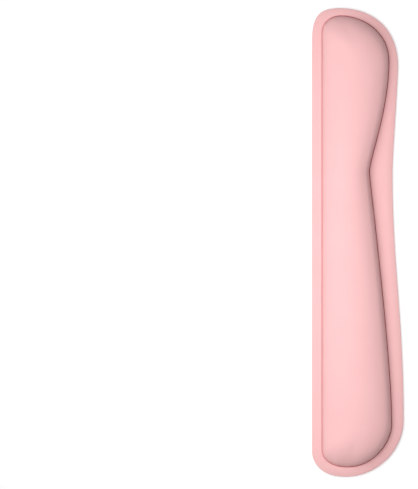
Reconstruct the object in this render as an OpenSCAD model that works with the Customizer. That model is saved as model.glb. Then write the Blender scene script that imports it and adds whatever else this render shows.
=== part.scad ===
// Keyboard wrist rest: a pressed knit cover over a memory foam core, bonded
// through a support sheet to a non-slip base.
//
// Frame, in millimetres: +X runs along the rest to the end of its short lobe,
// +Y is the straight edge that meets the keyboard, -Y is the notched edge that
// faces the user, and +Z is up. The origin is the middle of the underside.

/* [Mat outline] */
// Overall length
rest_l = 420; // [380:5:460]
// Overall width, at the long lobe
rest_w = 82; // [76:0.5:94]
// Distance from the middle of the rest to the notch, towards the short lobe
notch_x = 62; // [20:1:80]
// How far the mat's front edge is drawn in at the notch
mat_notch_d = 10; // [4:0.5:16]
// How much less the short lobe reaches forward than the long lobe
short_lobe_step = 5; // [0:0.5:8]

/* [Cushion outline] */
// Width of the bare rim along the straight back edge
rim_back = 9; // [7:0.5:12]
// Width of the bare rim at the short lobe's end
rim_short_end = 7; // [7:0.5:12]
// Width of the bare rim at the long lobe's end
rim_long_end = 9; // [7:0.5:12]
// Width of the bare rim in front of the short lobe
rim_short = 8.5; // [7:0.5:12]
// Width of the bare rim in front of the long lobe
rim_long = 11; // [8:0.5:16]
// Width of the bare rim at the notch
rim_notch = 21; // [14:0.5:26]

/* [Cushion crown] */
// Overall height, from the desk to the crown
rest_h = 22; // [18:0.5:26]
// How far the crown's ridge lies from the back, as a share of the cushion's width
ridge_share = 0.55; // [0.35:0.05:0.6]
// Fullness of the slopes to the back and the ends: 2 is an ellipse, more is boxier
back_fullness = 1.6; // [1.5:0.1:2.6]
// Fullness of the slope to the front
front_fullness = 2.5; // [1.6:0.1:2.6]
// Length of the sloping end of each lobe
end_slope_l = 34; // [24:1:44]

/* [Layers] */
// Thickness of the non-slip base
base_t = 2; // [1.6:0.1:3]
// Thickness of the support sheet
sheet_t = 1.2; // [0.8:0.1:2]
// Thickness of each adhesive film
film_t = 0.15; // [0.1:0.05:0.3]
// Thickness of the knit cover
cover_t = 0.9; // [0.8:0.1:1.2]
// Width of the rim's outer stretch, which curves down to the edge
edge_w = 6; // [4:0.5:6]
// How far the rim curves down at its edge
edge_drop = 0.9; // [0.6:0.1:1.6]
// Width of the cover's solid border, outside the support sheet
border_w = 3.5; // [3.5:0.5:4.5]
// Depth of the crease pressed around the cushion
crease_d = 0.5; // [0.2:0.1:0.6]
// Width of the crease, on the mat's side
crease_w = 0.8; // [0.6:0.1:1.5]

/* [Grip pattern] */
// Distance between neighbouring cells of the honeycomb underside
cell_pitch = 10; // [8:0.5:14]
// Width of the web between two cells
cell_web = 3; // [2:0.5:4]
// Depth of the cells
cell_d = 0.6; // [0.3:0.1:1]
// Plain border around the honeycomb
grip_border = 6; // [4:0.5:10]

/* [Hidden] */

pink = [0.96, 0.78, 0.79];
foam_white = [0.95, 0.93, 0.88];
film_clear = [0.93, 0.90, 0.80];
sheet_white = [0.90, 0.88, 0.87];
base_pink = [0.88, 0.66, 0.68];

// Heights of the layers, from the desk up.
base_film_z = base_t;
sheet_z = base_film_z + film_t;
top_film_z = sheet_z + sheet_t;
core_z = top_film_z + film_t;
flange_z = core_z + cover_t;
core_h = rest_h - cover_t - core_z;

// Points in each stretch of an outline, in the order of its extreme points.
outline_steps = [12, 12, 12, 14, 24, 12, 12];
// Distances from the ends of the mat to the points where its lobes reach
// furthest forward and where its straight back edge starts and ends.
mat_long_lobe_l = 50.5;
mat_short_lobe_l = 52;
mat_long_corner_l = 22;
mat_short_corner_l = 28;
// Where each end of the mat reaches furthest out, towards the back.
mat_long_tip_y = 11;
mat_short_tip_y = 16.5;
// The same for the cushion, from its own ends.
cushion_long_lobe_l = 37.5;
cushion_short_lobe_l = 40.5;
cushion_long_corner_l = 15.5;
cushion_short_corner_l = 15;
cushion_long_tip_y = 9;
cushion_short_tip_y = 15.5;
// How much nearer the short end the cushion's notch lies than the mat's.
cushion_notch_shift = 1;
// Steps from the crease to the dome's small flat crown, and the angle there.
dome_steps = 11;
crown_angle = 85;
// Steps across the rim's curved outer stretch.
edge_steps = 5;
// Width of the stretch of ridge that follows the notch back.
ridge_bend_w = 75;
// Gap between the two films that lie side by side on the support sheet.
film_gap = 0.5;

// ---------------------------------------------------------------- outlines

// A point of a cubic Bezier arc from a to d, with handles b and c.
function bezier(a, b, c, d, t) =
    pow(1 - t, 3) * a + 3 * t * pow(1 - t, 2) * b
    + 3 * t * t * (1 - t) * c + pow(t, 3) * d;

// Both outlines pass through seven extreme points, where they run along X or Y.
// An extreme point is [x, y, runs along X, handle before, handle after], with
// each handle as a share of the step to the neighbouring point.
function arc_points(p, q, steps) =
    let (
        step = [q.x - p.x, q.y - p.y],
        leave = p[2] ? [step.x, 0] : [0, step.y],
        arrive = q[2] ? [step.x, 0] : [0, step.y],
        a = [p.x, p.y],
        d = [q.x, q.y]
    )
    [for (i = [0 : steps - 1]) bezier(a, a + leave * p[4], d - arrive * q[3], d, i / steps)];

function closed_outline(extremes) =
    let (n = len(extremes))
    [for (k = [0 : n - 1]) each arc_points(extremes[k], extremes[(k + 1) % n], outline_steps[k])];

// Counter-clockwise: front of the long lobe, notch, front of the short lobe,
// short end, the back edge's two ends, and the long end.
half_l = rest_l / 2;
half_w = rest_w / 2;
mat_outline = closed_outline([
    [-half_l + mat_long_lobe_l, -half_w, true, 0.54, 0.42],
    [notch_x, -half_w + mat_notch_d, true, 0.37, 0.17],
    [half_l - mat_short_lobe_l, -half_w + short_lobe_step, true, 0.14, 0.65],
    [half_l, mat_short_tip_y, false, 0.57, 0.72],
    [half_l - mat_short_corner_l, half_w, true, 0.76, 0.33],
    [-half_l + mat_long_corner_l, half_w, true, 0.33, 0.35],
    [-half_l, mat_long_tip_y, false, 0.79, 0.54],
]);

cushion_back_y = half_w - rim_back;
cushion_long_y = -half_w + rim_long;
cushion_notch_y = -half_w + mat_notch_d + rim_notch;
cushion_short_y = -half_w + short_lobe_step + rim_short;
cushion_short_x = half_l - rim_short_end;
cushion_long_x = -half_l + rim_long_end;
cushion_outline = closed_outline([
    [cushion_long_x + cushion_long_lobe_l, cushion_long_y, true, 0.37, 0.28],
    [notch_x + cushion_notch_shift, cushion_notch_y, true, 0.03, 0.12],
    [cushion_short_x - cushion_short_lobe_l, cushion_short_y, true, 0.44, 0.66],
    [cushion_short_x, cushion_short_tip_y, false, 0.43, 0.42],
    [cushion_short_x - cushion_short_corner_l, cushion_back_y, true, 0.73, 0.33],
    [cushion_long_x + cushion_long_corner_l, cushion_back_y, true, 0.33, 0.64],
    [cushion_long_x, cushion_long_tip_y, false, 0.61, 0.61],
]);

// The unit normals that point into a counter-clockwise outline.
function inward(outline) =
    let (n = len(outline))
    [for (i = [0 : n - 1])
        let (
            along = outline[(i + 1) % n] - outline[(i + n - 1) % n],
            unit = along / norm(along)
        )
        [-unit.y, unit.x]];

// Moves every point of a counter-clockwise outline inwards by d.
function inset(outline, d) = outline + d * inward(outline);

function at_height(outline, z) = [for (p = outline) [p.x, p.y, z]];

// ------------------------------------------------------------------- dome

// The ridge stops end_slope_l short of the cushion's ends. It runs along the
// cushion at ridge_share of its width and bends back behind the notch.
ridge_lobe_y = cushion_back_y
    - ridge_share * (cushion_back_y - (cushion_long_y + cushion_short_y) / 2);
ridge_notch_y = cushion_back_y - ridge_share * (cushion_back_y - cushion_notch_y);
ridge_scale = 1 - 2 * end_slope_l / (cushion_short_x - cushion_long_x);

// The ridge's point that an outline's point at x slopes up to.
function ridge_point(x) =
    let (
        ridge_x = cushion_long_x + end_slope_l + (x - cushion_long_x) * ridge_scale,
        bend = exp(-pow((ridge_x - notch_x) / ridge_bend_w, 2))
    )
    [ridge_x, ridge_lobe_y + (ridge_notch_y - ridge_lobe_y) * bend];

// The fullness of a slope, from the inward normal at its foot: the back's at the
// back and the ends, and more the further the slope turns to the front.
function fullness(normal) =
    back_fullness + (front_fullness - back_fullness) * max(normal.y, 0);

// The dome rises from an outline to the ridge as a quarter of a superellipse,
// in rings from angle 0, at the outline, to crown_angle.
function dome_ring(outline, z, height, angle) =
    let (normals = inward(outline))
    [for (i = [0 : len(outline) - 1])
        let (
            p = outline[i],
            power = 2 / fullness(normals[i]),
            q = p + (ridge_point(p.x) - p) * (1 - pow(cos(angle), power))
        )
        [q.x, q.y, z + height * pow(sin(angle) / sin(crown_angle), power)]];

function dome_rings(outline, z, height) =
    [for (k = [0 : dome_steps]) dome_ring(outline, z, height, crown_angle * k / dome_steps)];

// A closed solid through rings of equal length, capped at its first and last.
module ring_solid(rings) {
    n = len(rings[0]);
    m = len(rings);
    points = [for (ring = rings) each ring];
    sides = [for (k = [0 : m - 2], i = [0 : n - 1])
        let (j = (i + 1) % n)
        each [
            [k * n + i, (k + 1) * n + i, (k + 1) * n + j],
            [k * n + i, (k + 1) * n + j, k * n + j],
        ]];
    first_cap = [for (i = [0 : n - 1]) i];
    last_cap = [for (i = [n - 1 : -1 : 0]) (m - 1) * n + i];
    polyhedron(points = points, faces = concat(sides, [first_cap, last_cap]), convexity = 6);
}

module layer(outline, z, thickness) {
    translate([0, 0, z])
        linear_extrude(height = thickness)
            polygon(outline);
}

// ------------------------------------------------------------- honeycomb

cell_r = (cell_pitch - cell_web) / sqrt(3);
row_pitch = cell_pitch * sqrt(3) / 2;
cell_room = inset(mat_outline, grip_border + cell_r);

// True where a point lies inside an outline: a ray along X crosses it an odd
// number of times.
function inside(p, outline) =
    let (
        n = len(outline),
        crossings = [for (i = [0 : n - 1])
            let (a = outline[i], b = outline[(i + 1) % n])
            if ((a.y > p.y) != (b.y > p.y)
                && p.x < a.x + (b.x - a.x) * (p.y - a.y) / (b.y - a.y)) 1]
    )
    len(crossings) % 2 == 1;

cell_centres = [
    for (row = [-ceil(half_w / row_pitch) : ceil(half_w / row_pitch)])
    for (column = [-ceil(half_l / cell_pitch) : ceil(half_l / cell_pitch)])
        let (centre = [(column + (row % 2 == 0 ? 0 : 0.5)) * cell_pitch, row * row_pitch])
        if (inside(centre, cell_room)) centre
];

// --------------------------------------------------------------- sub-parts

// The cover's outer side: up its cut edge, over the curved stretch of the rim,
// across its flat stretch, down into the crease and up over the dome.
function cover_outer_rings() =
    let (crease_z = flange_z - crease_d)
    concat(
        [at_height(mat_outline, sheet_z)],
        [for (k = [0 : edge_steps])
            let (share = k / edge_steps)
            at_height(inset(mat_outline, edge_w * share),
                flange_z - edge_drop * pow(1 - share, 2))],
        [at_height(inset(cushion_outline, -crease_w), flange_z)],
        dome_rings(cushion_outline, crease_z, rest_h - crease_z)
    );

// The cover's inner side lies on the core, the flange film and the sheet's edge.
function cover_inner_rings() =
    concat(
        [at_height(inset(mat_outline, border_w), sheet_z),
            at_height(inset(mat_outline, border_w), core_z)],
        dome_rings(inset(cushion_outline, cover_t), core_z, core_h)
    );

function reversed(list) = [for (i = [len(list) - 1 : -1 : 0]) list[i]];

module top_cover() {
    color(pink)
        ring_solid(concat(reversed(cover_inner_rings()), cover_outer_rings()));
}

module memory_foam_core() {
    color(foam_white)
        ring_solid(dome_rings(inset(cushion_outline, cover_t), core_z, core_h));
}

module core_bond_film() {
    color(film_clear)
        layer(inset(cushion_outline, cover_t + film_gap), top_film_z, film_t);
}

module flange_bond_film() {
    color(film_clear)
        difference() {
            layer(inset(mat_outline, border_w), top_film_z, film_t);
            layer(inset(cushion_outline, cover_t - film_gap), top_film_z - 1, film_t + 2);
        }
}

module support_sheet() {
    color(sheet_white)
        layer(inset(mat_outline, border_w), sheet_z, sheet_t);
}

module base_bond_film() {
    color(film_clear)
        layer(mat_outline, base_film_z, film_t);
}

module non_slip_base() {
    color(base_pink)
        difference() {
            layer(mat_outline, 0, base_t);
            for (centre = cell_centres)
                translate([centre.x, centre.y, -1])
                    rotate(30)
                        cylinder(h = cell_d + 1, r = cell_r, $fn = 6);
        }
}

top_cover();
memory_foam_core();
core_bond_film();
flange_bond_film();
support_sheet();
base_bond_film();
non_slip_base();
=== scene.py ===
# The looks of a keyboard wrist rest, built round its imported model: a pressed
# knit cover over a foam core, a rubber base with a honeycomb underside, and the
# films and sheet between them. Metres, in the model's own frame: +X to the
# short lobe's end, +Y to the keyboard, -Y to the user, +Z up.
import math

import bmesh
import bpy
import numpy as np
from mathutils.bvhtree import BVHTree
from mathutils.geometry import delaunay_2d_cdt
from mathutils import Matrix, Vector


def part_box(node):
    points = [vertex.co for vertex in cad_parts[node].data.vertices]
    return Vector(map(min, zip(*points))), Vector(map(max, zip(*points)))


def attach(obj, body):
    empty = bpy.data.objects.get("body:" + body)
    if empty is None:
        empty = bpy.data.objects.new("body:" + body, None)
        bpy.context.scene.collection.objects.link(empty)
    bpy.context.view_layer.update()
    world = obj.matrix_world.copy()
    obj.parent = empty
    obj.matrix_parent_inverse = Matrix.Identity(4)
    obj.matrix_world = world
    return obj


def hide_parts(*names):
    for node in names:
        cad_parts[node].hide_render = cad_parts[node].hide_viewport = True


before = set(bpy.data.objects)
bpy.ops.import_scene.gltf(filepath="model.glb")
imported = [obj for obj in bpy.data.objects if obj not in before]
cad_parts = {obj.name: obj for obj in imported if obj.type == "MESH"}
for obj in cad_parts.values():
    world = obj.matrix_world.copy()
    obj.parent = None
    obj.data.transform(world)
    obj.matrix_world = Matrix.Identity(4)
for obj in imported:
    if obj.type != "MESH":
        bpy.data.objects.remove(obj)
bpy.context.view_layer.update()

MM = 0.001

# ------------------------------------------------------------ sizes
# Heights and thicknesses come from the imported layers.
BASE_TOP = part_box("non_slip_base")[1].z
SHEET_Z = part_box("support_sheet")[0].z
CORE_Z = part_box("memory_foam_core")[0].z
CORE_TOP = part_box("memory_foam_core")[1].z
CROWN_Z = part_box("top_cover")[1].z
COVER_T = CROWN_Z - CORE_TOP
RIM_Z = CORE_Z + COVER_T

EDGE_W = 6 * MM           # the rim's outer stretch, which curves down to the edge
EDGE_DROP = 0.9 * MM      # how far it curves down
EDGE_SHARES = (0.05, 0.15, 0.3, 0.45, 0.6, 0.8, 1.0)  # rings across that stretch
FLAT_SHARES = (0.3, 0.6, 0.85, 1.0)  # rings across the flat stretch inside it
LIP_HOLD = 0.1 * MM       # a ring this far up the cut edge keeps its foot's shading even
LIP_ROUND = 0.25 * MM     # how far below the cut edge's top its rounding starts
LIP_INSET = 0.07 * MM     # how far in, and below the top, the rounding's middle lies
BORDER_W = 3.5 * MM       # the cover's solid border outside the support sheet
CREASE_D = 0.8 * MM       # depth of the pressed crease below the rim
CREASE_W = 0.9 * MM       # width of the crease on the rim's side
# The crease's section, as shares of its width and of its depth.
CREASE_SHAPE = ((0.2, 0.03), (0.4, 0.15), (0.52, 0.6), (0.62, 0.95), (0.85, 1.0))
# Painted shade: how far the knit's colour is darkened, ring by ring, in the crease and up the
# dome's foot.
CREASE_SHADE_PAINTED = (0.1, 0.5, 0.9, 1, 1, 1, 0.7, 0.3)
# The painted shade is weaker on the back, which faces the key light.
BACK_SHADE_SHARE = 0.4        # the same at the back, as a share of the front's
RIDGE_SHARE = 0.55        # the ridge's place, as a share of the cushion's width
BACK_FULLNESS = 1.6       # the back slope's shape: 2 is an ellipse, more is boxier
FRONT_FULLNESS = 2.5      # the front slope's
END_SLOPE = 34 * MM       # length of the dome's sloping ends
CELL_PITCH = 10 * MM      # honeycomb underside: cell to cell
CELL_WEB = 3 * MM         # width of the web between two cells
CELL_D = 0.6 * MM         # depth of the cells
CELL_FILLET = 0.25 * MM   # rounding of a cell's rim and floor
CELL_DRAFT = 0.1 * MM     # how much smaller a cell's radius is at its floor
GRIP_BORDER = 6 * MM      # plain border round the honeycomb
BASE_ROUND = 0.5 * MM     # rounding of the base's lower edge
SHARP_ANGLE = math.radians(50)  # edges of the base that turn more than this are sharp
STITCH_W = 0.70 * MM      # the knit's columns
STITCH_L = 0.55 * MM      # the knit's rows

SIDE_STEPS = 160          # points along each side of an outline
RING_N = 2 * SIDE_STEPS   # points in a whole outline
HEXAGON_STEPS = 3         # points along each side of a honeycomb cell
STRAIGHT = 2.5            # a step this many times longer than the next is straight
DOME_RINGS = 26           # rings from the crease to the ridge
CORE_RINGS = 8            # the same on the hidden face that lies on the core
TIP_STEPS = 12            # points each side of a tip that fan out from the ridge's end

SWELL_PRESSURE = 4.0      # the cover's inflation in the cloth simulation
SWELL_FRAMES = 20         # frames that the simulation runs for
SWELL_MAX = 1.5 * MM      # the furthest that the cover may swell
SWELL_SMOOTHING = 16      # passes that even out the swelling
CROWN_BLUR = 3.5 * MM     # spread of the blur that rounds over the ridge
CROWN_BAND = 6 * MM       # how far below the crown it reaches
CROWN_FALL = 0.75 * MM    # the most that it may lower the cover, clear of the core
CROWN_GRID = 1 * MM       # step of the grid of heights that is blurred


# ------------------------------------------------------------ outlines
def bottom_loop(node):
    """The outline of a CAD node's flat underside, counter-clockwise, as (n, 2)."""
    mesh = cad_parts[node].data
    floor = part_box(node)[0].z + 0.01 * MM
    key = [(round(v.co.x, 6), round(v.co.y, 6)) for v in mesh.vertices]
    low = [v.co.z < floor for v in mesh.vertices]
    follows = {}
    mesh.calc_loop_triangles()
    for tri in mesh.loop_triangles:
        if all(low[i] for i in tri.vertices):
            for a, b in zip(tri.vertices, (*tri.vertices[1:], tri.vertices[0])):
                follows.setdefault(key[a], set()).add(key[b])
    # An edge of the outline is one that no neighbouring triangle runs the other way.
    outer = {a: b for a, ends in follows.items() for b in ends if a not in follows.get(b, ())}
    loop = [next(iter(sorted(outer)))]
    while outer[loop[-1]] != loop[0]:
        loop.append(outer[loop[-1]])
    points = np.array(loop)
    turned = np.roll(points, -1, 0)
    area = (points[:, 0] * turned[:, 1] - points[:, 1] * turned[:, 0]).sum()
    return points if area > 0 else points[::-1]


def smooth_side(points, count):
    """A smooth open curve through points, sampled at count + 1 even steps. Where a
    long step meets a short one, the curve leaves the long one along its own line."""
    chord = np.linalg.norm(np.diff(points, axis=0), axis=1)
    at = np.concatenate([[0], chord.cumsum()])
    slope = np.diff(points, axis=0) / chord[:, None]
    weight = (chord[:-1] / (chord[:-1] + chord[1:]))[:, None]
    inner = slope[:-1] * (1 - weight) + slope[1:] * weight
    before, after = chord[:-1, None], chord[1:, None]
    inner = np.where(before > STRAIGHT * after, slope[:-1], inner)
    inner = np.where(after > STRAIGHT * before, slope[1:], inner)
    tangent = np.vstack([slope[:1], inner, slope[-1:]])
    wanted = np.linspace(0, at[-1], count + 1)
    i = np.clip(np.searchsorted(at, wanted, "right") - 1, 0, len(chord) - 1)
    h = chord[i][:, None]
    t = ((wanted - at[i]) / chord[i])[:, None]
    return (
        (1 + 2 * t) * (1 - t) ** 2 * points[i]
        + t * (1 - t) ** 2 * h * tangent[i]
        + t ** 2 * (3 - 2 * t) * points[i + 1]
        + t ** 2 * (t - 1) * h * tangent[i + 1]
    )


def two_sides(loop):
    """The loop resampled from its short end's tip: back side first, then front."""
    loop = np.roll(loop, -int(loop[:, 0].argmax()), 0)
    far = int(loop[:, 0].argmin())
    closed = np.vstack([loop, loop[:1]])
    back = smooth_side(closed[:far + 1], SIDE_STEPS)
    front = smooth_side(closed[far:], SIDE_STEPS)
    return np.vstack([back[:-1], front[:-1]])


def inward(ring):
    """Unit normals that point into a counter-clockwise ring."""
    along = np.roll(ring, -1, 0) - np.roll(ring, 1, 0)
    along /= np.linalg.norm(along, axis=1)[:, None]
    return np.stack([-along[:, 1], along[:, 0]], axis=1)


def inset(ring, distance):
    """The ring moved inwards by the distance."""
    return ring + distance * inward(ring)


def at_height(ring, z):
    """The flat ring's points at height z, as (n, 3)."""
    return np.column_stack([ring, np.full(len(ring), z)])


mat = two_sides(bottom_loop("base_bond_film"))
core_ring = two_sides(bottom_loop("memory_foam_core"))
cushion = inset(core_ring, -COVER_T)


# ------------------------------------------------------------ mesh helpers
def placed(name, mesh, material, smooth=True):
    """A new object of the mesh, in the scene."""
    mesh.polygons.foreach_set("use_smooth", [smooth] * len(mesh.polygons))
    if material:
        mesh.materials.append(material)
    piece = bpy.data.objects.new(name, mesh)
    bpy.context.scene.collection.objects.link(piece)
    return piece


def new_object(name, points, faces, material, smooth=True):
    """A new object of points and faces, in the scene."""
    mesh = bpy.data.meshes.new(name)
    mesh.from_pydata([tuple(p) for p in points], [], faces)
    mesh.validate()
    return placed(name, mesh, material, smooth)


def loft(rings):
    """Quads between rings of equal length; returns points and faces."""
    n = len(rings[0])
    faces = [
        (r * n + k, r * n + (k + 1) % n, (r + 1) * n + (k + 1) % n, (r + 1) * n + k)
        for r in range(len(rings) - 1)
        for k in range(n)
    ]
    return np.vstack(rings), faces


def ridge_index(k):
    """Which ridge point a ring's point k meets: the two sides share them."""
    j = min(k, RING_N - k)
    return min(max(j, TIP_STEPS), SIDE_STEPS - TIP_STEPS) - TIP_STEPS


def close_on_ridge(ring_start, ridge_start, outward):
    """Faces from the ring at ring_start to the ridge's points at ridge_start."""
    faces = []
    for k in range(RING_N):
        after = (k + 1) % RING_N
        a, b = ring_start + k, ring_start + after
        c, d = ridge_start + ridge_index(after), ridge_start + ridge_index(k)
        face = (a, b, c, d) if c != d else (a, b, c)
        faces.append(face if outward else face[::-1])
    return faces


# ------------------------------------------------------------ the dome
def ridge_of(ring):
    """The dome's ridge: along the cushion, bending back behind the notch."""
    back = ring[TIP_STEPS:SIDE_STEPS - TIP_STEPS + 1]
    front = ring[SIDE_STEPS + TIP_STEPS:RING_N - TIP_STEPS + 1][::-1]
    middle = (back[:, 0] + front[:, 0]) / 2
    low, high = ring[:, 0].min() + END_SLOPE, ring[:, 0].max() - END_SLOPE
    x = low + (middle - middle[-1]) * (high - low) / (middle[0] - middle[-1])
    back_y = ring[:, 1].max()
    by_x = np.argsort(front[:, 0])
    front_y = np.interp(x, front[by_x, 0], front[by_x, 1])
    window = np.hanning(SIDE_STEPS // 3)
    padded = np.pad(front_y, len(window) // 2, mode="edge")
    front_y = np.convolve(padded, window / window.sum(), "same")[len(window) // 2:][:len(x)]
    return np.column_stack([x, back_y - RIDGE_SHARE * (back_y - front_y)])


def dome(ring, z, top, count):
    """Rings from an outline up to, and without, its ridge, and the ridge. Each
    slope is a quarter of a superellipse, fuller where it faces the front."""
    ridge = ridge_of(ring)
    meets = ridge[[ridge_index(k) for k in range(len(ring))]]
    facing_front = np.maximum(inward(ring)[:, 1], 0)
    power = 2 / (BACK_FULLNESS + (FRONT_FULLNESS - BACK_FULLNESS) * facing_front)
    rings = []
    for step in range(count):
        angle = math.pi / 2 * step / count
        in_by = (1 - math.cos(angle) ** power)[:, None]
        flat = ring + (meets - ring) * in_by
        rings.append(np.column_stack([flat, z + (top - z) * math.sin(angle) ** power]))
    return rings, at_height(ridge, top)


def swollen(rings, ridge):
    """The dome's rings and ridge after a cloth simulation: its skin is held along
    the crease and inflated, so that its sides fill out and round over. The foam
    keeps it from sinking in, and the crown keeps its height."""
    points, faces = loft(rings)
    faces += close_on_ridge(len(points) - RING_N, len(points), outward=True)
    points = np.vstack([points, ridge])
    skin = new_object("skin", points, faces, None)
    skin.vertex_groups.new(name="held").add(list(range(RING_N)), 1.0, "REPLACE")
    cloth = skin.modifiers.new("swell", "CLOTH")
    cloth.settings.vertex_group_mass = "held"
    cloth.settings.effector_weights.gravity = 0
    cloth.settings.use_pressure = True
    cloth.settings.uniform_pressure_force = SWELL_PRESSURE
    cloth.point_cache.frame_end = SWELL_FRAMES
    for number in range(1, SWELL_FRAMES + 1):
        bpy.context.scene.frame_set(number)
    settled = skin.evaluated_get(bpy.context.evaluated_depsgraph_get()).data
    moved = np.array([v.co for v in settled.vertices]) - points
    normal = np.array([v.normal for v in skin.data.vertices])
    edges = np.array([e.vertices for e in skin.data.edges])
    bpy.context.scene.frame_set(1)
    bpy.data.objects.remove(skin)
    outward = (moved * normal).sum(axis=1)[:, None]
    moved -= np.minimum(outward, 0) * normal
    moved *= min(1, SWELL_MAX / np.linalg.norm(moved, axis=1).max())
    free = np.ones((len(points), 1))
    free[:RING_N] = 0
    points += evened(moved, edges, free, SWELL_SMOOTHING)
    round_crown(points, faces)
    foot, top = points[0, 2], points[:, 2].max()
    points[:, 2] = foot + (points[:, 2] - foot) * (CROWN_Z - foot) / (top - foot)
    return list(points[:-len(ridge)].reshape(len(rings), RING_N, 3)), points[-len(ridge):]


def round_crown(points, faces):
    """Blurs the points' heights near the crown, so that no ridge shows there. The
    heights are read on a grid by rays from above, and blurred along both axes."""
    tree = BVHTree.FromPolygons([tuple(p) for p in points], faces)
    low, high = points.min(axis=0), points.max(axis=0)
    margin = 3 * CROWN_BLUR
    xs, ys = (np.arange(low[i] - margin, high[i] + margin, CROWN_GRID) for i in (0, 1))
    hits = [[tree.ray_cast((x, y, 1), (0, 0, -1))[0] for y in ys] for x in xs]
    height = np.array([[hit.z if hit else low[2] for hit in line] for line in hits])
    reach = np.arange(-margin, margin + CROWN_GRID / 2, CROWN_GRID)
    bell = np.exp(-(reach / CROWN_BLUR) ** 2 / 2)
    for axis in (0, 1):
        height = np.apply_along_axis(np.convolve, axis, height, bell / bell.sum(), "same")
    column = (points[:, 0] - xs[0]) / CROWN_GRID
    row = (points[:, 1] - ys[0]) / CROWN_GRID
    i, j = column.astype(int), row.astype(int)
    u, v = column - i, row - j
    blurred = (
        height[i, j] * (1 - u) * (1 - v) + height[i + 1, j] * u * (1 - v)
        + height[i, j + 1] * (1 - u) * v + height[i + 1, j + 1] * u * v
    )
    near = np.clip((points[:, 2] - CROWN_Z) / CROWN_BAND + 1, 0, 1)
    change = near ** 2 * (3 - 2 * near) * (blurred - points[:, 2])
    points[:, 2] += np.where(change < 0, CROWN_FALL * np.tanh(change / CROWN_FALL), change)


def evened(values, edges, share, passes):
    """Each point's value moved towards its neighbours' mean, by its own share."""
    neighbours = np.bincount(edges.ravel(), minlength=len(values))[:, None]
    for _ in range(passes):
        total = np.zeros_like(values)
        np.add.at(total, edges[:, 0], values[edges[:, 1]])
        np.add.at(total, edges[:, 1], values[edges[:, 0]])
        values = values + share * (total / neighbours - values) / 2
    return values


# ------------------------------------------------------------ materials
class Look:
    """A procedural material with one Principled shader."""

    def __init__(self, name, roughness, **values):
        self.material = bpy.data.materials.new(name)
        self.material.use_nodes = True
        self.tree = self.material.node_tree
        self.shader = self.tree.nodes["Principled BSDF"]
        self.shader.inputs["Roughness"].default_value = roughness
        for socket, value in values.items():
            self.shader.inputs[socket.replace("_", " ")].default_value = value

    def node(self, kind, inputs=(), **settings):
        """A shader node, with its inputs linked to sockets or set to values."""
        made = self.tree.nodes.new("ShaderNode" + kind)
        for key, value in settings.items():
            setattr(made, key, value)
        for key, value in dict(inputs).items():
            if isinstance(value, bpy.types.NodeSocket):
                self.tree.links.new(value, made.inputs[key])
            else:
                made.inputs[key].default_value = value
        return made

    def math(self, operation, a, b=0.0):
        """One Math node, on sockets or numbers."""
        return self.node("Math", {0: a, 1: b}, operation=operation).outputs[0]

    def place(self):
        """The surface's own place in the frame, in metres."""
        return self.node("TexCoord").outputs["Object"]

    def noise(self, size, detail=2.0):
        """Noise from 0 to 1 with features about size across."""
        return self.node("TexNoise", {
            "Vector": self.place(), "Scale": 1 / size, "Detail": detail,
        }).outputs["Fac"]

    def cells(self, size):
        """The distance from the middle of cells about size across."""
        return self.node(
            "TexVoronoi", {"Vector": self.place(), "Scale": 1 / size}
        ).outputs["Distance"]

    def between(self, factor, low, high):
        """Maps a factor from 0..1 to low..high."""
        return self.node("MapRange", {
            "Value": factor, "To Min": low, "To Max": high,
        }).outputs["Result"]

    def blend(self, factor, a, b):
        """The colour between a and b, each a socket or a colour."""
        mix = self.node("Mix", data_type="RGBA")
        self.tree.links.new(factor, mix.inputs["Factor"])
        for socket, colour in ((mix.inputs[6], a), (mix.inputs[7], b)):
            if isinstance(colour, bpy.types.NodeSocket):
                self.tree.links.new(colour, socket)
            else:
                socket.default_value = (*colour, 1)
        return mix.outputs[2]

    def colour(self, socket):
        """Links the base colour."""
        self.tree.links.new(socket, self.shader.inputs["Base Color"])

    def roughness(self, socket):
        """Links the roughness."""
        self.tree.links.new(socket, self.shader.inputs["Roughness"])

    def bump(self, height, depth, strength=1.0):
        """Adds a bump of the given depth in metres for a height of 0 to 1."""
        made = self.node("Bump", {"Strength": strength, "Distance": depth, "Height": height})
        normal = self.shader.inputs["Normal"]
        if normal.links:
            self.tree.links.new(normal.links[0].from_socket, made.inputs["Normal"])
        self.tree.links.new(made.outputs["Normal"], normal)


def knit_look():
    """A fine stretch knit: columns of small V stitches, soft and matte."""
    look = Look("cover_knit", 0.86, Sheen_Weight=0.08, Sheen_Roughness=0.5,
                Specular_IOR_Level=0.25)
    slant, stitch_share, fuzz_share = 1.2, 0.3, 0.5
    split = look.node("SeparateXYZ", {
        "Vector": look.node("UVMap", uv_map="knit").outputs["UV"],
    })
    across = look.math("MULTIPLY", split.outputs["Y"], 1 / STITCH_W)
    along = look.math("MULTIPLY", split.outputs["X"], 1 / STITCH_L)
    column = look.math("PINGPONG", across, 0.5)
    slanted = look.math("ADD", along, look.math("MULTIPLY", column, slant))
    stitch = look.math("SINE", look.math("MULTIPLY", slanted, 2 * math.pi))
    wave = look.math("SINE", look.math("MULTIPLY", column, 2 * math.pi))
    stitched = look.math("MULTIPLY", stitch, stitch_share)
    height = look.math("MULTIPLY", look.math("ADD", stitched, 1 - stitch_share), wave)
    fuzz = look.math("MULTIPLY", look.noise(0.25 * MM), fuzz_share)
    look.bump(look.math("ADD", height, fuzz), 0.07 * MM, 0.7)
    soft = look.between(look.noise(24 * MM, detail=4.0), 0, 1)
    plain = look.blend(soft, (0.86, 0.485, 0.488), (0.89, 0.515, 0.52))
    # Painted shade: the knit is blended towards a dark rose where shade falls in the crease and at
    # the dome's foot.
    pressed = look.node("Attribute", attribute_name="pressed").outputs["Fac"]
    look.colour(look.blend(pressed, plain, (0.5, 0.11, 0.125)))
    look.roughness(look.between(look.noise(6 * MM), 0.8, 0.92))
    return look.material


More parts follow.
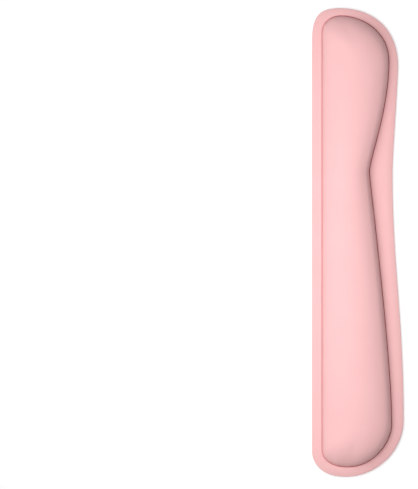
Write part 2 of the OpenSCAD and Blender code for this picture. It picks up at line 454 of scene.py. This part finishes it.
def foam_look():
    """Open-cell memory foam, off-white, with painted shade in the pits of its pores."""
    look = Look("memory_foam", 0.9, Specular_IOR_Level=0.2)
    pores_and_pit_shade = look.cells(0.9 * MM)
    look.bump(pores_and_pit_shade, 0.25 * MM, 0.8)
    # Painted shade: the pits of the pores are coloured darker and yellower than their rims.
    look.colour(look.blend(pores_and_pit_shade, (0.80, 0.74, 0.60), (0.90, 0.86, 0.76)))
    look.roughness(look.between(look.noise(8 * MM), 0.84, 0.95))
    return look.material


def film_look():
    """Hot-melt film: thin, slightly glossy and uneven."""
    look = Look("bond_film", 0.4)
    flow = look.noise(9 * MM, detail=3.0)
    look.bump(flow, 0.05 * MM, 0.5)
    look.colour(look.blend(flow, (0.76, 0.52, 0.49), (0.84, 0.64, 0.60)))
    look.roughness(look.between(flow, 0.32, 0.5))
    return look.material


def sheet_look():
    """Closed-cell foam sheet with a fine skin."""
    look = Look("support_foam", 0.75)
    cells = look.cells(0.6 * MM)
    look.bump(cells, 0.08 * MM, 0.6)
    look.colour(look.blend(look.noise(15 * MM), (0.82, 0.78, 0.74), (0.88, 0.85, 0.82)))
    look.roughness(look.between(cells, 0.7, 0.85))
    return look.material


def rubber_look():
    """Moulded rubber with a fine grain, dusty pink."""
    look = Look("base_rubber", 0.7, Specular_IOR_Level=0.4)
    grain = look.noise(0.35 * MM, detail=3.0)
    look.bump(grain, 0.06 * MM, 0.7)
    clouds = look.noise(18 * MM, detail=4.0)
    look.colour(look.blend(clouds, (0.69, 0.375, 0.395), (0.76, 0.44, 0.455)))
    look.roughness(look.between(grain, 0.62, 0.8))
    return look.material


# ------------------------------------------------------------ pieces
def make_cover(material):
    """The cover: lip, rounded edge, flat rim, a crease sunk below the rim with shade
    painted into it, and crowned dome on the outside, and the face that lies on the core and the
    sheet inside."""
    lip = inset(mat, BORDER_W)
    lip_z = RIM_Z - EDGE_DROP
    outer = [at_height(mat, z) for z in (SHEET_Z, SHEET_Z + LIP_HOLD, lip_z - LIP_ROUND)]
    outer.append(at_height(inset(mat, LIP_INSET), lip_z - LIP_INSET))
    for share in EDGE_SHARES:
        outer.append(at_height(inset(mat, EDGE_W * share), RIM_Z - EDGE_DROP * (1 - share) ** 2))
    start, end = outer[-1][:, :2], inset(cushion, -CREASE_W)
    for share in FLAT_SHARES:
        outer.append(at_height(start + (end - start) * share, RIM_Z))
    crease_start = len(outer)
    for share, dip in CREASE_SHAPE:
        outer.append(at_height(end + (cushion - end) * share, RIM_Z - dip * CREASE_D))
    rings, ridge = swollen(*dome(cushion, RIM_Z - CREASE_D, CROWN_Z, DOME_RINGS))
    outer += rings
    core_rings, core_ridge = dome(core_ring, CORE_Z, CORE_TOP, CORE_RINGS)
    inner = [at_height(lip, SHEET_Z), at_height(lip, CORE_Z), *core_rings]
    points, faces = loft(inner[::-1] + outer)
    count = len(points)
    faces += close_on_ridge(count - RING_N, count, outward=True)
    faces += close_on_ridge(0, count + len(ridge), outward=False)
    cover = new_object("knit_cover", np.vstack([points, ridge, core_ridge]), faces, material)
    add_knit_map(cover, outer, ridge, len(inner) * RING_N, count)
    # Paints shade into the crease and up the dome's foot.
    add_pressed(cover, (len(inner) + crease_start) * RING_N)
    return cover


def add_pressed(cover, first):
    """An attribute of painted shade: how far the knit is darkened in the crease and up the dome's
    foot, more on the front side, from the crease's first point.
    """
    facing_front = (1 + inward(cushion)[:, 1]) / 2
    share = BACK_SHADE_SHARE + (1 - BACK_SHADE_SHARE) * facing_front
    values = np.zeros(len(cover.data.vertices), np.float32)
    values[first:first + len(CREASE_SHADE_PAINTED) * RING_N] = np.outer(CREASE_SHADE_PAINTED, share).ravel()
    pressed = cover.data.attributes.new("pressed", "FLOAT", "POINT")
    pressed.data.foreach_set("value", values)


def add_knit_map(cover, outer, ridge, first, ridge_start):
    """A UV map in metres that unrolls the outside of the cover from its ridge, so
    that the knit keeps its scale on the steep sides. The outer rings' points start
    at first, and the ridge's at ridge_start."""
    last = ridge[[ridge_index(k) for k in range(RING_N)]]
    away = cushion - last[:, :2]
    away /= np.linalg.norm(away, axis=1)[:, None]
    rolled = np.array([v.co.xy for v in cover.data.vertices])
    rolled[ridge_start:ridge_start + len(ridge)] = ridge[:, :2]
    climbed = np.zeros(RING_N)
    for r, ring in reversed(list(enumerate(outer))):
        step = np.linalg.norm(ring - last, axis=1)
        flat = np.linalg.norm(ring[:, :2] - last[:, :2], axis=1)
        climbed += step - flat
        at = first + r * RING_N
        rolled[at:at + RING_N] = ring[:, :2] + away * climbed[:, None]
        last = ring
    uv = cover.data.uv_layers.new(name="knit")
    corners = np.empty(len(cover.data.loops), np.int32)
    cover.data.loops.foreach_get("vertex_index", corners)
    uv.data.foreach_set("uv", rolled[corners].ravel())


def make_core(material):
    """The foam core: a crowned closed form on a flat underside."""
    rings, ridge = dome(core_ring, CORE_Z, CORE_TOP, DOME_RINGS)
    points, faces = loft(rings)
    faces += close_on_ridge(len(points) - RING_N, len(points), outward=True)
    floor = at_height(ridge[:, :2], CORE_Z)
    faces += close_on_ridge(0, len(points) + len(ridge), outward=False)
    return new_object("foam_core", np.vstack([points, ridge, floor]), faces, material)


def hexagon(radius, rounding):
    """A hexagon's outline. Rounding draws its corners in, up to a circle at 1."""
    points = []
    for side in range(6):
        a, b = (radius * np.array([math.cos(t), math.sin(t)])
                for t in np.radians([30 + 60 * side, 90 + 60 * side]))
        points += [a + (b - a) * i / HEXAGON_STEPS for i in range(HEXAGON_STEPS)]
    points = np.array(points)
    reach = np.linalg.norm(points, axis=1)
    flat = radius * math.cos(math.pi / 6)
    return points * (flat + (reach - flat) * (1 - rounding))[:, None] / reach[:, None]


def make_base(material):
    """The rubber base: rounded lower edge, and a honeycomb of round-edged cells
    in its underside."""
    tile_r = CELL_PITCH / math.sqrt(3)
    cell_r = (CELL_PITCH - CELL_WEB) / math.sqrt(3)
    floor_r = cell_r - CELL_DRAFT
    profile = [  # each ring's radius, height and rounding of its corners
        (tile_r, 0.0, 0.0),
        (cell_r + CELL_FILLET, 0.0, 0.35),
        (cell_r + 0.3 * CELL_FILLET, 0.3 * CELL_FILLET, 0.4),
        (cell_r, CELL_FILLET, 0.4),
        (floor_r, CELL_D - CELL_FILLET, 0.4),
        (floor_r - 0.7 * CELL_FILLET, CELL_D - 0.2 * CELL_FILLET, 0.4),
        (floor_r - 2 * CELL_FILLET, CELL_D, 0.5),
        (cell_r * 0.4, CELL_D, 0.8),
    ]
    room = inset(mat, GRIP_BORDER + cell_r)
    row_pitch = CELL_PITCH * math.sqrt(3) / 2
    rows = math.ceil(abs(mat[:, 1]).max() / row_pitch)
    columns = math.ceil(abs(mat[:, 0]).max() / CELL_PITCH)
    bm = bmesh.new()
    shared = {}

    def corner(x, y, z):
        key = (round(x, 6), round(y, 6), round(z, 6))
        if key not in shared:
            shared[key] = bm.verts.new((x, y, z))
        return shared[key]

    for row in range(-rows, rows + 1):
        for column in range(-columns, columns + 1):
            # Every second row is shifted by half a cell.
            centre = np.array([(column + row % 2 / 2) * CELL_PITCH, row * row_pitch])
            if not inside(centre, room):
                continue
            rings = [
                [corner(*(centre + p), z) for p in hexagon(r, rounding)]
                for r, z, rounding in profile
            ]
            for outer, inner in zip(rings, rings[1:]):
                for i in range(len(outer)):
                    j = (i + 1) % len(outer)
                    bm.faces.new((outer[i], inner[i], inner[j], outer[j]))
            bm.faces.new(rings[-1][::-1])
    edges = [e for e in bm.edges if len(e.link_faces) == 1]
    close_base(bm, edges, corner)
    bmesh.ops.recalc_face_normals(bm, faces=bm.faces)
    mesh = bpy.data.meshes.new("grip_base")
    bm.to_mesh(mesh)
    bm.free()
    piece = placed("grip_base", mesh, material)
    mesh.set_sharp_from_angle(angle=SHARP_ANGLE)
    return piece


def crossings(point, starts, ends):
    """How many of the edges from starts to ends a ray from the point along X crosses."""
    spans = (starts[:, 1] > point[1]) != (ends[:, 1] > point[1])
    a, b = starts[spans], ends[spans]
    x = a[:, 0] + (b[:, 0] - a[:, 0]) * (point[1] - a[:, 1]) / (b[:, 1] - a[:, 1])
    return int((x > point[0]).sum())


def inside(point, ring):
    """Whether a point lies inside a ring."""
    return crossings(point, ring, np.roll(ring, -1, 0)) % 2 == 1


def close_base(bm, honeycomb_edges, corner):
    """Joins the honeycomb to the base's rounded lower edge, its side and its top."""
    rings = []
    for angle in np.radians([0, 30, 60, 90]):
        ring = inset(mat, BASE_ROUND * (1 - math.sin(angle)))
        rings.append([corner(*p, BASE_ROUND * (1 - math.cos(angle))) for p in ring])
    rings.append([corner(*p, BASE_TOP) for p in mat])
    for lower, upper in zip(rings, rings[1:]):
        for i in range(len(lower)):
            j = (i + 1) % len(lower)
            bm.faces.new((lower[i], lower[j], upper[j], upper[i]))
    fill(bm, rings[0], honeycomb_edges)
    fill(bm, rings[-1], [])


def fill(bm, ring, hole_edges):
    """Triangles between a level ring and the closed loops of edges inside it."""
    pairs = list(zip(ring, ring[1:] + ring[:1])) + [tuple(e.verts) for e in hole_edges]
    verts = list(dict.fromkeys(v for pair in pairs for v in pair))
    number = {v: i for i, v in enumerate(verts)}
    edges = [(number[a], number[b]) for a, b in pairs]
    flat = np.array([v.co.xy for v in verts])
    starts, ends = (flat[[edge[i] for edge in edges]] for i in (0, 1))
    faces = delaunay_2d_cdt([v.co.xy for v in verts], edges, [], 0, 1e-9)[2]
    for face in faces:
        if crossings(flat[list(face)].mean(axis=0), starts, ends) % 2 == 1:
            bm.faces.new([verts[i] for i in face])


def dress_node(name, material):
    """Gives a CAD node that stays its material."""
    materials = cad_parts[name].data.materials
    materials.clear()
    materials.append(material)


cover = make_cover(knit_look())
core = make_core(foam_look())
base = make_base(rubber_look())

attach(cover, "root")
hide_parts("top_cover")

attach(core, "root")
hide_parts("memory_foam_core")

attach(base, "root")
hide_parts("non_slip_base")

film = film_look()
for name in ("core_bond_film", "flange_bond_film", "base_bond_film"):
    dress_node(name, film)
dress_node("support_sheet", sheet_look())


# ------------------------------------------------------------ stage
PICTURE_H = 0.4381         # height of the view at the rim, in metres
CAMERA_D = 3.0             # from the camera straight down to the rim
CAMERA_X, CAMERA_Y = -0.0018, 0.1334
CAMERA_FAR = 50            # the furthest that the camera sees
SENSOR = 36                # the sensor's side along the view's height, in mm
KEY_PLACE = (0.0, 0.126, 0.42)
KEY_SIZE = (0.8, 0.52)     # along the rest and across it
KEY_POWER = 3.42           # in watts
SKY = 0.05                 # strength of the even light from all round
FLOOR_HALF = 20.0          # half of the floor's side
FLOOR_GLOW = 0.5           # keeps the floor near white
WHITE = (1, 1, 1, 1)


def make_floor():
    """A plain pale floor, which the rest lies on."""
    look = Look("floor", 0.9, Emission_Color=WHITE, Emission_Strength=FLOOR_GLOW)
    look.colour(look.blend(look.noise(0.5), (0.6, 0.6, 0.6), (0.61, 0.61, 0.61)))
    corners = [(x * FLOOR_HALF, y * FLOOR_HALF, 0) for x, y in ((-1, -1), (1, -1), (1, 1), (-1, 1))]
    floor = new_object("floor", corners, [(0, 1, 2, 3)], look.material, smooth=False)


def make_camera():
    """The camera looks straight down, with the short lobe's end at the top."""
    data = bpy.data.cameras.new("camera")
    data.sensor_width = SENSOR
    data.lens = SENSOR * CAMERA_D / PICTURE_H
    data.clip_end = CAMERA_FAR
    camera = bpy.data.objects.new("camera", data)
    camera.location = (CAMERA_X, CAMERA_Y, RIM_Z + CAMERA_D)
    camera.rotation_euler = (0, 0, -math.pi / 2)
    bpy.context.scene.collection.objects.link(camera)
    bpy.context.scene.camera = camera


def make_lights():
    """A large soft key light over the keyboard's side, and an even faint sky."""
    data = bpy.data.lights.new("key", "AREA")
    data.shape = "ELLIPSE"
    data.size, data.size_y = KEY_SIZE
    data.energy = KEY_POWER
    key = bpy.data.objects.new("key", data)
    key.location = KEY_PLACE
    to_middle = -key.location
    key.rotation_euler = to_middle.to_track_quat("-Z", "Y").to_euler()
    key.visible_camera = False
    bpy.context.scene.collection.objects.link(key)
    world = bpy.data.worlds.new("world")
    world.use_nodes = True
    background = world.node_tree.nodes["Background"]
    background.inputs["Color"].default_value = WHITE
    background.inputs["Strength"].default_value = SKY
    bpy.context.scene.world = world


make_floor()
make_camera()
make_lights()
bpy.context.scene.view_settings.view_transform = "Standard"
